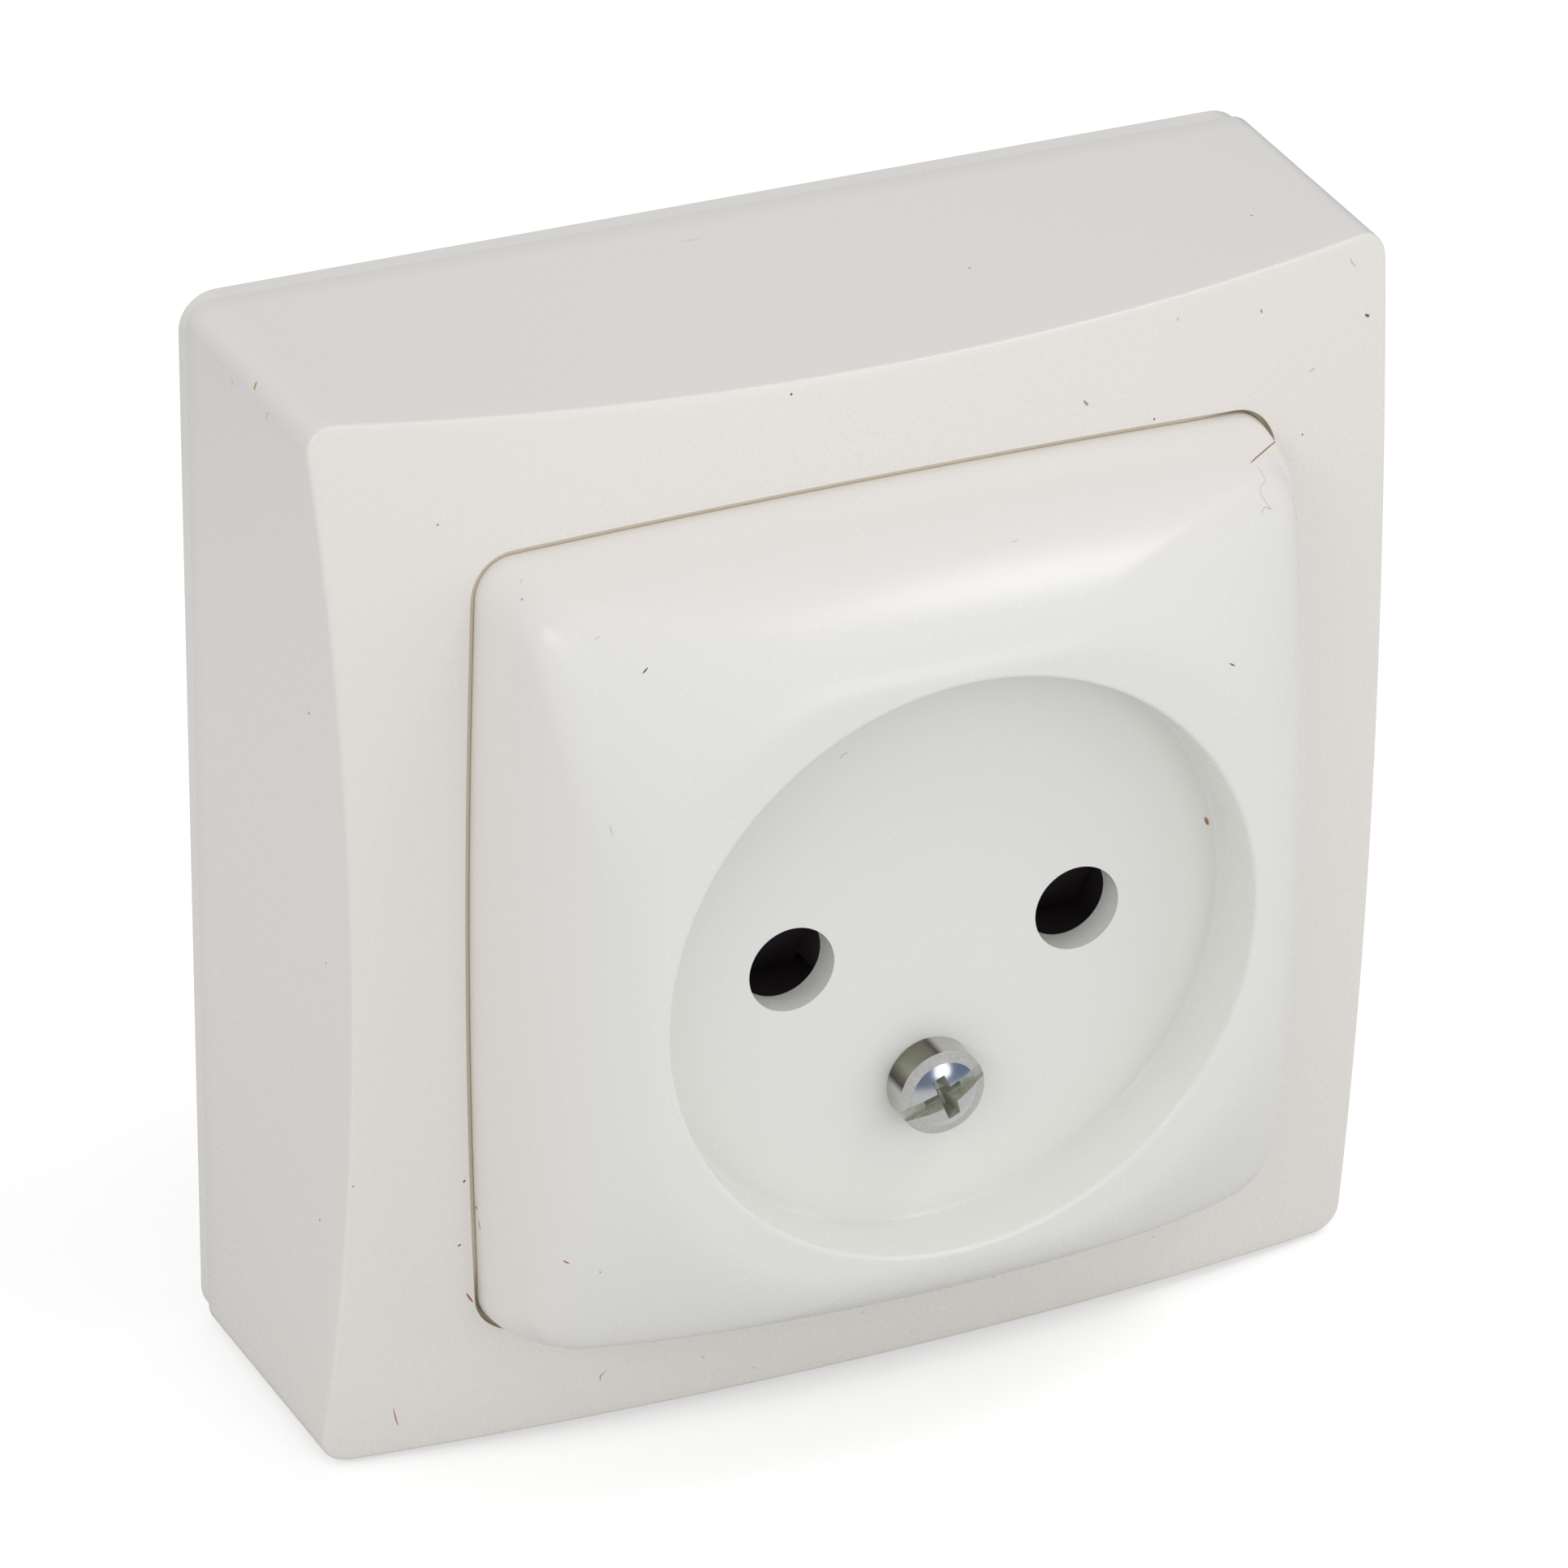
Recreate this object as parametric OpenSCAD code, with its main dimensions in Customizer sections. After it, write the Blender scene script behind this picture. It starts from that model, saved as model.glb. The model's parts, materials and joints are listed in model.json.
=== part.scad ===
// Surface mounted two-pole socket outlet.
// Frame: origin at the centre of the back face on the wall, +Z up, the front looks along -Y.
// Every module below is drawn lying on its back: x to the right, y up the wall and z out from the
// wall, and facing() stands it up against the wall.

/* [Housing] */
// Width and height of the housing at the wall
housing_w = 71.4; // [66:0.1:84]
// Height of the crowned front above the wall, at its middle
crown_top = 26.5; // [25:0.1:30]
// Radius of the crowned front
crown_r = 180; // [150:1:260]
// How far each side is drawn in at the middle of its front edge
side_pinch = 1; // [0.4:0.1:1.6]
// Rounding of the four upright edges
housing_corner_r = 2.4; // [1.5:0.1:5]
// Wall thickness of the sides
housing_wall = 2; // [1.6:0.1:2.6]
// Wall thickness of the front
front_wall = 2.2; // [1.6:0.1:3]
// Thickness of the collar around the opening
collar_wall = 1.5; // [1:0.1:2.2]
// Height above the wall at which the collar ends
collar_start = 17; // [15:0.1:19]

/* [Opening] */
// Width of the opening across the middle of its sides
opening_w = 55.2; // [54:0.1:57]
// Radius of the slightly curved sides
side_r = 265; // [200:1:400]
// Rounding of the opening's corners
opening_corner_r = 3; // [2:0.1:4]

/* [Cover plate] */
// Gap between the cover plate and the opening
cover_gap = 0.3; // [0.2:0.05:0.6]
// Height of the cover's face above the wall, at its middle
cover_top = 37; // [36:0.1:40]
// Height of the cover's edge above the wall, at the middle of a side
cover_edge = 24.2; // [23.6:0.1:25]
// Half width at which the face begins to roll over
face_half = 19.8; // [19.6:0.1:21]
// Lean of the flank where it rises out of the gap, in degrees from the wall
flank_lean = 86; // [78:0.5:89]
// How far the flank holds that lean before it curves in
flank_pull = 5.6; // [3:0.1:7]
// How far the roll reaches out beyond the face
face_pull = 3.2; // [2:0.1:4.5]
// Radius of the flank's slightly curved sides
flank_side_r = 370; // [265:5:600]
// Rounding of the ridges that climb the corners
ridge_r = 3.5; // [2.5:0.1:5]
// How far below the top of the face the ridges fade out
ridge_drop = 6.8; // [5:0.1:8]
// Corner rounding where the face begins
face_corner_r = 14.5; // [10:0.1:15]
// Wall thickness of the cover
cover_wall = 2; // [1.5:0.1:2.2]
// Height above the wall at which the skirt ends
skirt_start = 19; // [18:0.1:20]

/* [Well] */
// Diameter of the well at its rim
well_d = 38.7; // [38:0.1:39]
// Diameter of the well at its floor
well_floor_d = 38.4; // [38:0.1:38.7]
// Depth of the well's floor below the top of the face
well_depth = 5.5; // [4.8:0.1:6]
// Thickness of the floor
floor_t = 2; // [1.6:0.1:2.2]
// Wall thickness of the cup around the well
cup_wall = 1.6; // [1.2:0.1:2]

/* [Pins and cover screw] */
// Distance between the pin holes
pin_spacing = 19; // [19:0.1:19.4]
// Diameter of the pin holes
pin_hole_d = 5.6; // [5:0.1:6]
// How far the cover screw sits below the pin line
screw_drop = 9.5; // [9:0.1:11]
// Diameter of the cover screw's head
head_d = 5.4; // [5:0.1:6]
// Height of the head's cylindrical side
head_side = 2; // [1.2:0.1:2.4]
// Height of the head's dome
head_dome = 0.7; // [0.5:0.1:1.2]
// Diameter of the cover screw's shank
screw_d = 2.9; // [2.5:0.1:3.1]
// Length of the cover screw's shank
screw_l = 16; // [13:0.5:17]

/* [Wall plate] */
// Thickness of the edge that shows behind the housing
band_t = 1.3; // [1:0.1:1.6]
// Thickness of the plate's floor
plate_t = 2; // [1.8:0.1:2.6]
// Height above the wall of the lip that locates the housing
lip_top = 6; // [5:0.1:7]
// Thickness of that lip
lip_t = 1.6; // [1.2:0.1:2]
// Distance between the two wall fixing slots
fixing_spacing = 55; // [54:0.1:56]
// Width of a fixing slot
fixing_w = 4.4; // [4:0.1:4.8]
// Length of a fixing slot
fixing_l = 7.4; // [6:0.1:8]
// Width of a cable entry
entry_w = 26; // [20:0.1:30]
// Height of a cable entry
entry_h = 9; // [7:0.1:9.6]
// Distance of a cable entry's centre from the middle
entry_up = 26.6; // [26:0.1:27]

/* [Mechanism block] */
// Width of the block
block_w = 45.2; // [45:0.1:46]
// Height of the block
block_h = 39; // [38.6:0.1:40]
// Room for the shutter between the block and the cover's floor
shutter_room = 6.9; // [6.6:0.1:7.2]
// Height above the wall of the pockets' floor
pocket_floor = 6; // [5:0.1:7]
// Rounding of the block's corners
block_corner_r = 2; // [1:0.1:3]
// Sideways place of the mechanism screws
block_screw_x = 11.5; // [11.2:0.1:11.8]
// Upright place of the mechanism screws
block_screw_y = 15.6; // [15.5:0.1:15.7]

/* [Contacts and terminals] */
// Thickness of the brass strip
strip_t = 0.7; // [0.5:0.05:0.8]
// Width of a contact clip up the wall
clip_w = 6; // [5:0.1:6.4]
// How far a contact clip ends below the block's front
clip_recess = 1; // [0.6:0.1:2]
// Half of the gap at the clip's narrowest place
grip_half = 1.9; // [1.8:0.05:2]
// Width of a terminal block
terminal_w = 6; // [5.6:0.1:6.2]
// Length of a terminal block
terminal_l = 15; // [14:0.1:15.6]
// Height of a terminal block
terminal_h = 8; // [7.6:0.1:8.4]
// Diameter of a terminal's wire bore
wire_d = 3.4; // [3:0.1:3.6]
// Diameter of a terminal screw
terminal_screw_d = 3; // [2.8:0.1:3.2]

/* [Shutter] */
// How far the shutter slides up
shutter_travel = 6.4; // [6:0.1:6.6]
// Width of the shutter
shutter_w = 26.2; // [26:0.1:26.6]
// Height of the shutter
shutter_h = 7.6; // [7:0.1:7.8]
// Clearance around the shutter
shutter_gap = 0.25; // [0.2:0.05:0.3]
// Clearance between the shutter and the cover's floor
shutter_play = 0.45; // [0.3:0.05:0.6]
// Thickness of the guide plate that it slides on
guide_t = 1; // [0.8:0.1:1]
// Length of the spring at rest
spring_l = 12; // [11.8:0.1:12]
// Mean radius of the spring
spring_r = 1.6; // [1.4:0.05:1.7]
// Diameter of the spring's wire
wire_t = 0.4; // [0.3:0.02:0.44]

/* [Hidden] */
$fn = 72;
eps = 0.02;
fit_gap = 0.15;
through = 2 * cover_top;
white = [0.87, 0.86, 0.84];
cover_white = [0.87, 0.88, 0.86];
dark = [0.09, 0.09, 0.1];
brass = [0.78, 0.62, 0.3];
steel = [0.72, 0.73, 0.74];
ceramic = [0.8, 0.79, 0.74];

pin_x = pin_spacing / 2;
opening_half = opening_w / 2;
cover_half = opening_half - cover_gap;
floor_h = cover_top - well_depth;
floor_back = floor_h - floor_t;
block_top = floor_back - shutter_room;
clip_h = block_top - clip_recess - pocket_floor;
shutter_t = shutter_room - guide_t - shutter_gap - shutter_play;
cavity_half = housing_w / 2 - housing_wall;

cover_corner_r = opening_corner_r - cover_gap;
ridge_top = cover_top - ridge_drop;

function mix(a, b, t) = a + (b - a) * t;

// Profile of the cover: one cubic curve from its edge up the flank and over the roll to the face.
// The crowned face is a sphere of the housing's own crown radius, and the curve runs into it.
face_slope = asin(face_half / crown_r);
face_h = cover_top - crown_r * (1 - cos(face_slope));
flank_low = [cover_half, cover_edge];
flank_mid = flank_low + flank_pull * [-cos(flank_lean), sin(flank_lean)];
roll_end = [face_half, face_h];
roll_mid = roll_end + face_pull * [cos(face_slope), -sin(face_slope)];

function profile(t) = pow(1 - t, 3) * flank_low + 3 * t * pow(1 - t, 2) * flank_mid
    + 3 * t * t * (1 - t) * roll_mid + t * t * t * roll_end;
function profile_run(t) = pow(1 - t, 2) * (flank_mid - flank_low)
    + 2 * t * (1 - t) * (roll_mid - flank_mid) + t * t * (roll_end - roll_mid);
// The same profile, moved inwards by the wall.
function inner_profile(t, wall) =
    let (d = profile_run(t)) profile(t) + wall / norm(d) * [-d[1], d[0]];

// The ridges stay sharp up to ridge_top and then open out into the face.
function corner_at(h) = h < ridge_top
    ? mix(cover_corner_r, ridge_r, (h - cover_edge) / (ridge_top - cover_edge))
    : mix(ridge_r, face_corner_r, sin(90 * min(1, (h - ridge_top) / (face_h - ridge_top))));
function side_at(t) = 1 / mix(1 / side_r, 1 / flank_side_r, min(1, 3 * t));

// Outline with slightly curved sides and round corners, as points going round once.
// half: from the middle to the middle of a side; bow: radius of the sides; corner: corner radius.
function corner_place(half, bow, corner) =
    let (k = bow - half) (sqrt(2 * (bow - corner) * (bow - corner) - k * k) - k) / 2;
function outline(half, bow, corner, along = 6, around = 8) =
    let (
        c = corner_place(half, bow, corner),
        k = bow - half,
        turn = atan2(c, c + k)
    )
    [
        for (side = [0 : 3])
        each [
            for (p = concat(
                [for (i = [0 : along]) let (t = turn * (2 * i / along - 1)) [bow * cos(t) - k, bow * sin(t)]],
                [for (i = [1 : around - 1]) let (t = turn + (90 - 2 * turn) * i / around)
                    [c + corner * cos(t), c + corner * sin(t)]]
            ))
            [p[0] * cos(90 * side) - p[1] * sin(90 * side), p[0] * sin(90 * side) + p[1] * cos(90 * side)]
        ]
    ];

// One ring of a lofted shell: the outline at a height that falls away with the crown.
function ring(half, height, corner, bow, along = 6, around = 8) =
    [for (p = outline(half, bow, corner, along, around))
        [p[0], p[1], height - (p[0] * p[0] + p[1] * p[1] - half * half) / (2 * crown_r)]];

// Solid between rings that have the same number of points, closed by a flat fan at each end.
module loft(rings) {
    n = len(rings[0]);
    m = len(rings);
    middle_low = [0, 0, min([for (p = rings[0]) p[2]])];
    middle_high = [0, 0, max([for (p = rings[m - 1]) p[2]])];
    points = concat([for (r = rings) each r], [middle_low, middle_high]);
    walls = [for (j = [0 : m - 2], i = [0 : n - 1], half = [0 : 1])
        half == 0
            ? [j * n + i, (j + 1) * n + (i + 1) % n, j * n + (i + 1) % n]
            : [j * n + i, (j + 1) * n + i, (j + 1) * n + (i + 1) % n]];
    low_fan = [for (i = [0 : n - 1]) [m * n, i, (i + 1) % n]];
    high_fan = [for (i = [0 : n - 1]) [m * n + 1, (m - 1) * n + (i + 1) % n, (m - 1) * n + i]];
    polyhedron(points, concat(walls, low_fan, high_fan), convexity = 4);
}

module facing() {
    rotate([90, 0, 0]) children();
}

module rounded_square(size, r) {
    square([size - 2 * r, size], center = true);
    square([size, size - 2 * r], center = true);
    for (x = [-1, 1], y = [-1, 1])
        translate([x * (size / 2 - r), y * (size / 2 - r)]) circle(r);
}

module rounded_rect(w, h, r) {
    square([w - 2 * r, h], center = true);
    square([w, h - 2 * r], center = true);
    for (x = [-1, 1], y = [-1, 1])
        translate([x * (w / 2 - r), y * (h / 2 - r)]) circle(r);
}

module slot(length, width, depth) {
    linear_extrude(depth) {
        square([length - width, width], center = true);
        for (x = [-1, 1]) translate([x * (length - width) / 2, 0]) circle(d = width);
    }
}

// The crowned front is part of a large sphere that is centred behind the wall.
module crown(top, r) {
    translate([0, 0, top - r]) sphere(r, $fn = 200);
}

snap_w = 8;
snap_t = 0.5;
snap_h = 4.6;
screw_post_r = 3.4;
screw_post_top = 5;

module base_plate() color(white) facing() {
    lip = cavity_half - fit_gap;
    difference() {
        union() {
            linear_extrude(band_t) rounded_square(housing_w, housing_corner_r);
            linear_extrude(plate_t) rounded_square(2 * lip, housing_corner_r);
            difference() {
                linear_extrude(lip_top) rounded_square(2 * lip, housing_corner_r);
                translate([0, 0, plate_t]) linear_extrude(lip_top)
                    rounded_square(2 * (lip - lip_t), housing_corner_r);
            }
            for (a = [0 : 90 : 270]) rotate(a) translate([lip - lip_t / 2, -snap_w / 2, snap_h - 1])
                cube([lip_t / 2 + snap_t, snap_w, 1]);
            for (s = [-1, 1]) translate([s * block_screw_x, s * block_screw_y, 0])
                cylinder(r = screw_post_r, h = screw_post_top);
        }
        for (s = [-1, 1]) {
            translate([s * fixing_spacing / 2, 0, -1]) slot(fixing_l, fixing_w, plate_t + 2);
            translate([0, s * entry_up, -1]) linear_extrude(plate_t + 2)
                rounded_rect(entry_w, entry_h, 2);
            translate([s * block_screw_x, s * block_screw_y, 1]) cylinder(d = post_bore_d, h = through);
        }
    }
}

// A shallow tilted cylinder that draws each side in towards the middle of its front edge.
pinch_r = housing_w * housing_w / (8 * side_pinch);
front_edge = crown_top - crown_r * (1 - cos(asin(housing_w / 2 / crown_r)));
pinch_tilt = atan2(side_pinch, front_edge);

module housing() color(white) facing() {
    seat = band_t;
    difference() {
        intersection() {
            translate([0, 0, seat]) linear_extrude(crown_top) rounded_square(housing_w, housing_corner_r);
            crown(crown_top, crown_r);
        }
        for (a = [0 : 90 : 270]) rotate(a)
            translate([housing_w / 2 + pinch_r, 0, 0]) rotate([0, -pinch_tilt, 0])
                cylinder(r = pinch_r, h = 3 * crown_top, center = true, $fn = 400);
        difference() {
            intersection() {
                translate([0, 0, -1]) linear_extrude(crown_top) rounded_square(2 * cavity_half, housing_corner_r);
                crown(crown_top - front_wall, crown_r - front_wall);
            }
            translate([0, 0, collar_start]) linear_extrude(crown_top)
                polygon(outline(opening_half + collar_wall, side_r, opening_corner_r + collar_wall));
        }
        linear_extrude(2 * crown_top) polygon(outline(opening_half, side_r, opening_corner_r));
        for (a = [0 : 90 : 270]) rotate(a)
            translate([cavity_half - 1, -snap_w / 2 - fit_gap, snap_h - 1 - fit_gap])
                cube([1 + snap_t + fit_gap, snap_w + 2 * fit_gap, 1 + 2 * fit_gap]);
    }
}

// Outer shell of the cover plate: skirt, flank, roll and crowned face.
profile_steps = 9;
face_in = 4;

module cover_outer() {
    middle_half = face_half - face_in;
    loft(concat(
        [ring(cover_half, skirt_start, cover_corner_r, side_r)],
        [for (i = [0 : profile_steps]) let (t = i / profile_steps, p = profile(t))
            ring(p[0], p[1], corner_at(p[1]), side_at(t))],
        [ring(middle_half, cover_top - crown_r * (1 - cos(asin(middle_half / crown_r))),
            face_corner_r - face_in, flank_side_r)]
    ));
}

module cover_hollow() {
    along = 4;
    around = 5;
    steps = 4;
    loft(concat(
        [ring(cover_half - cover_wall, skirt_start - 2, max(1, cover_corner_r - cover_wall), side_r, along, around)],
        [for (i = [0 : steps]) let (t = i / steps, p = inner_profile(t, cover_wall))
            ring(p[0], p[1], max(1, corner_at(profile(t)[1]) - cover_wall), side_at(t), along, around)]
    ));
}

cup_r = well_d / 2 + cup_wall;
boss_r = 3.2;

module cover_plate() color(cover_white) facing() {
    difference() {
        cover_outer();
        difference() {
            cover_hollow();
            translate([0, 0, floor_back]) cylinder(r = cup_r, h = cover_top);
            translate([0, -screw_drop, block_top + fit_gap]) cylinder(r = boss_r, h = cover_top);
        }
        translate([0, 0, floor_h])
            cylinder(d1 = well_floor_d, d2 = well_d + (well_d - well_floor_d) / 2, h = (cover_top - floor_h) * 1.25);
        for (s = [-1, 1]) translate([s * pin_x, 0, floor_back - 1]) cylinder(d = pin_hole_d, h = floor_t + 2);
        translate([0, -screw_drop, 0]) cylinder(d = screw_d + 2 * fit_gap, h = cover_top);
    }
}

module cover_screw() color(steel) facing() translate([0, -screw_drop, floor_h]) {
    dome_r = (head_d * head_d / 4 + head_dome * head_dome) / (2 * head_dome);
    difference() {
        union() {
            translate([0, 0, -screw_l]) cylinder(d = screw_d, h = screw_l + eps);
            intersection() {
                cylinder(d = head_d, h = head_side + head_dome);
                translate([0, 0, head_side + head_dome - dome_r]) sphere(dome_r);
            }
        }
        rotate(15) {
            translate([-head_d, -0.45, 1.5]) cube([2 * head_d, 0.9, 3]);
            translate([-0.45, -1.6, 0.9]) cube([0.9, 3.2, 3]);
        }
    }
}

insert_r = 2.9;
insert_l = 9;

module screw_insert() color(brass) facing() translate([0, -screw_drop, block_top - insert_l]) {
    difference() {
        union() {
            cylinder(r = insert_r, h = insert_l);
            for (a = [0 : 30 : 330]) rotate(a) translate([insert_r, 0, 1]) cylinder(r = 0.2, h = insert_l - 3);
        }
        translate([0, 0, -1]) cylinder(d = screw_d + 0.06, h = insert_l + 2);
    }
}

pocket_x = 4.6;
pocket_y = 4.2;
bay_in = pin_x + pocket_x + 0.9;
bay_w = terminal_w + 0.4;
bay_l = terminal_l + 1.2;
terminal_x = bay_in + bay_w / 2;
block_back = plate_t;
screw_seat = 7.6;
block_screw_d = 3;
block_head_d = 5.6;
post_bore_d = block_screw_d + 0.06;
peg_x = 12;
peg_y = 9.3;
peg_r = 1.2;
peg_l = 3;

module mechanism_body() color(ceramic) facing() {
    difference() {
        translate([0, 0, block_back]) linear_extrude(block_top - block_back)
            rounded_rect(block_w, block_h, block_corner_r);
        for (s = [-1, 1]) {
            // pocket of the contact clip
            translate([s * pin_x - pocket_x, -pocket_y, pocket_floor]) cube([2 * pocket_x, 2 * pocket_y, through]);
            // slot for the strap from the pocket to the terminal bay
            translate([s * (bay_in - 0.5) - 1, -clip_w / 2 - fit_gap, pocket_floor])
                cube([2, clip_w + 2 * fit_gap, through]);
            // terminal bay, open to the front
            translate([s * terminal_x - bay_w / 2, -bay_l / 2, pocket_floor]) cube([bay_w, bay_l, through]);
            // wire ways up and down from the terminal
            translate([s * terminal_x, 0, wire_axis]) rotate([90, 0, 0])
                cylinder(d = wire_d + 0.6, h = block_h + 2, center = true);
            // mechanism screw, with room for the wall plate's post
            translate([s * block_screw_x, s * block_screw_y, 0]) {
                cylinder(r = screw_post_r + fit_gap, h = screw_post_top + fit_gap);
                cylinder(d = block_screw_d + 0.4, h = through);
                translate([0, 0, screw_seat]) cylinder(d = block_head_d + 0.6, h = through);
            }
            translate([s * peg_x, peg_y, block_top - peg_l - 0.3]) cylinder(r = peg_r + 0.05, h = through);
        }
        translate([0, -screw_drop, block_top - insert_l]) {
            cylinder(r = insert_r + 0.25, h = through);
            translate([0, 0, -3]) cylinder(d = screw_d + 0.6, h = through);
        }
    }
}

module mechanism_screws() color(steel) facing() {
    for (s = [-1, 1]) translate([s * block_screw_x, s * block_screw_y, 0]) difference() {
        union() {
            translate([0, 0, 1.4]) cylinder(d = block_screw_d, h = screw_seat - 1);
            translate([0, 0, screw_seat]) cylinder(d = block_head_d, h = 2.2);
        }
        rotate(35 * s) translate([-5, -0.4, screw_seat + 1.1]) cube([10, 0.8, 3]);
    }
}

// Contact clip: a strap on the pocket's floor and two arms that bow in to the pin.
arm_half = 3.2;
mouth_half = 2.9;
neck_h = clip_h - 3.2;
foot_h = 3.6;

module clip(s) {
    arm = [
        [arm_half, 0], [arm_half, foot_h], [grip_half, neck_h], [mouth_half, clip_h],
        [mouth_half + strip_t, clip_h], [grip_half + strip_t, neck_h], [arm_half + strip_t, foot_h],
        [arm_half + strip_t, 0]
    ];
    translate([s * pin_x, 0, pocket_floor]) {
        for (m = [0, 1]) mirror([m, 0, 0]) translate([0, clip_w / 2, 0]) rotate([90, 0, 0])
            linear_extrude(clip_w) polygon(arm);
        translate([-arm_half - eps, -clip_w / 2, 0]) cube([2 * arm_half + 2 * eps, clip_w, strip_t]);
    }
    strap_end = terminal_x + terminal_w / 2;
    strap_from = pin_x + arm_half;
    translate([s > 0 ? strap_from : -strap_end, -clip_w / 2, pocket_floor])
        cube([strap_end - strap_from, clip_w, strip_t]);
}

ring_h = 3;
ring_t = 0.4;
ring_low = max(foot_h, neck_h - 3.8);

module clip_spring(s) {
    half_x = mix(arm_half, grip_half, (ring_low - foot_h) / (neck_h - foot_h)) + strip_t + 0.02;
    half_y = clip_w / 2 + 0.1;
    translate([s * pin_x, 0, pocket_floor + ring_low]) linear_extrude(ring_h) difference() {
        square([2 * (half_x + ring_t), 2 * (half_y + ring_t)], center = true);
        square([2 * half_x, 2 * half_y], center = true);
    }
}

terminal_low = pocket_floor + strip_t;
wire_axis = terminal_low + wire_d / 2 + 1.3;
terminal_pitch = 8.4;
terminal_head_d = 5;
wire_plate_t = 0.8;

module terminal(s) {
    translate([s * terminal_x, 0, 0]) difference() {
        translate([-terminal_w / 2, -terminal_l / 2, terminal_low]) cube([terminal_w, terminal_l, terminal_h]);
        translate([0, 0, wire_axis]) rotate([90, 0, 0]) cylinder(d = wire_d, h = terminal_l + 2, center = true);
        for (y = [-1, 1]) translate([0, y * terminal_pitch / 2, wire_axis])
            cylinder(d = terminal_screw_d + 0.06, h = terminal_h);
    }
}

screw_tip = wire_axis + 0.9;

module terminal_screws(s) {
    top = terminal_low + terminal_h + 1.6;
    for (y = [-1, 1]) translate([s * terminal_x, y * terminal_pitch / 2, 0]) difference() {
        union() {
            translate([0, 0, screw_tip]) cylinder(d = terminal_screw_d, h = top - screw_tip + eps);
            translate([0, 0, top]) cylinder(d = terminal_head_d, h = 2);
        }
        rotate(20 * y * s) translate([-4, -0.4, top + 1]) cube([8, 0.8, 2]);
    }
}

module wire_plate(s) {
    w = 2.2;
    translate([s * terminal_x - w / 2, -terminal_l / 2 + 0.6, screw_tip - wire_plate_t - 0.02])
        cube([w, terminal_l - 1.2, wire_plate_t]);
}

shutter_low = block_top + guide_t + shutter_gap;
rest_low = -shutter_h / 2;
frame_half = shutter_w / 2 + shutter_gap;
rail_w = 2;
frame_stop = rest_low - shutter_gap;
spring_seat = rest_low + 2.4;
frame_head = spring_seat + spring_l;
frame_top_wall = 1.8;
frame_t = floor_back - fit_gap - block_top - guide_t;

module shutter_frame() color(dark) facing() {
    outer_x = frame_half + rail_w;
    low = frame_stop - 1.6;
    high = frame_head + frame_top_wall;
    difference() {
        translate([-outer_x, low, block_top]) cube([2 * outer_x, high - low, guide_t + frame_t]);
        translate([-frame_half, frame_stop, block_top + guide_t]) cube([2 * frame_half, frame_head - frame_stop, through]);
        for (s = [-1, 1]) translate([s * pin_x, 0, block_top - 1]) cylinder(d = pin_hole_d + 0.6, h = through);
    }
    for (s = [-1, 1]) translate([s * peg_x, peg_y, block_top - peg_l]) cylinder(r = peg_r, h = peg_l + eps);
}

flag_half = 3.5;
pocket_half = spring_r + wire_t / 2 + 0.2;

module shutter() color(dark) facing() {
    wedge_foot = 0.6;
    bar_half = shutter_w / 2 - 2 * flag_half + eps;
    low = rest_low;
    high = rest_low + shutter_h;
    difference() {
        union() {
            for (s = [-1, 1]) translate([s * (shutter_w / 2 - flag_half) + flag_half, 0, shutter_low])
                rotate([90, 0, -90]) linear_extrude(2 * flag_half)
                    polygon([[-low, 0], [-high, 0], [-high, shutter_t], [-low, wedge_foot]]);
            translate([-bar_half, low + 1, shutter_low]) cube([2 * bar_half, shutter_h - 1, shutter_t]);
        }
        translate([-pocket_half, spring_seat, shutter_low - 1]) cube([2 * pocket_half, shutter_h, shutter_t + 2]);
    }
}

// Helix swept by a small ring of points; the two end turns lie closer together.
spring_turns = 8;
spring_steps = 12;
spring_sides = 6;

module shutter_spring() color(steel) facing() {
    count = spring_turns * spring_steps;
    free = spring_l - wire_t - 2 * eps;
    rings = [for (i = [0 : count]) let (
            t = i / count,
            a = 360 * spring_turns * t,
            y = wire_t / 2 + eps + free * (t - 0.05 * sin(360 * t))
        )
        [for (j = [0 : spring_sides - 1]) let (
                b = 360 * j / spring_sides,
                r = spring_r + wire_t / 2 * cos(b)
            )
            [r * cos(a), y + wire_t / 2 * sin(b), r * sin(a)]]];
    n = spring_sides;
    points = [for (r = rings) each r];
    faces = concat(
        [for (i = [0 : count - 1], j = [0 : n - 1], half = [0 : 1])
            half == 0
                ? [i * n + j, i * n + (j + 1) % n, (i + 1) * n + (j + 1) % n]
                : [i * n + j, (i + 1) * n + (j + 1) % n, (i + 1) * n + j]],
        [[for (j = [n - 1 : -1 : 0]) j]],
        [[for (j = [0 : n - 1]) count * n + j]]
    );
    translate([0, spring_seat, shutter_low + shutter_t / 2]) polyhedron(points, faces, convexity = 10);
}

base_plate();
housing();
cover_plate();
cover_screw();
screw_insert();
mechanism_body();
mechanism_screws();
contact_left();
contact_right();
contact_spring_left();
contact_spring_right();
terminal_left();
terminal_right();
terminal_screws_left();
terminal_screws_right();
wire_plate_left();
wire_plate_right();
shutter_frame();
shutter();
shutter_spring();

module contact_left() color(brass) facing() clip(-1);
module contact_right() color(brass) facing() clip(1);
module contact_spring_left() color(steel) facing() clip_spring(-1);
module contact_spring_right() color(steel) facing() clip_spring(1);
module terminal_left() color(brass) facing() terminal(-1);
module terminal_right() color(brass) facing() terminal(1);
module terminal_screws_left() color(steel) facing() terminal_screws(-1);
module terminal_screws_right() color(steel) facing() terminal_screws(1);
module wire_plate_left() color(steel) facing() wire_plate(-1);
module wire_plate_right() color(steel) facing() wire_plate(1);
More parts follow.
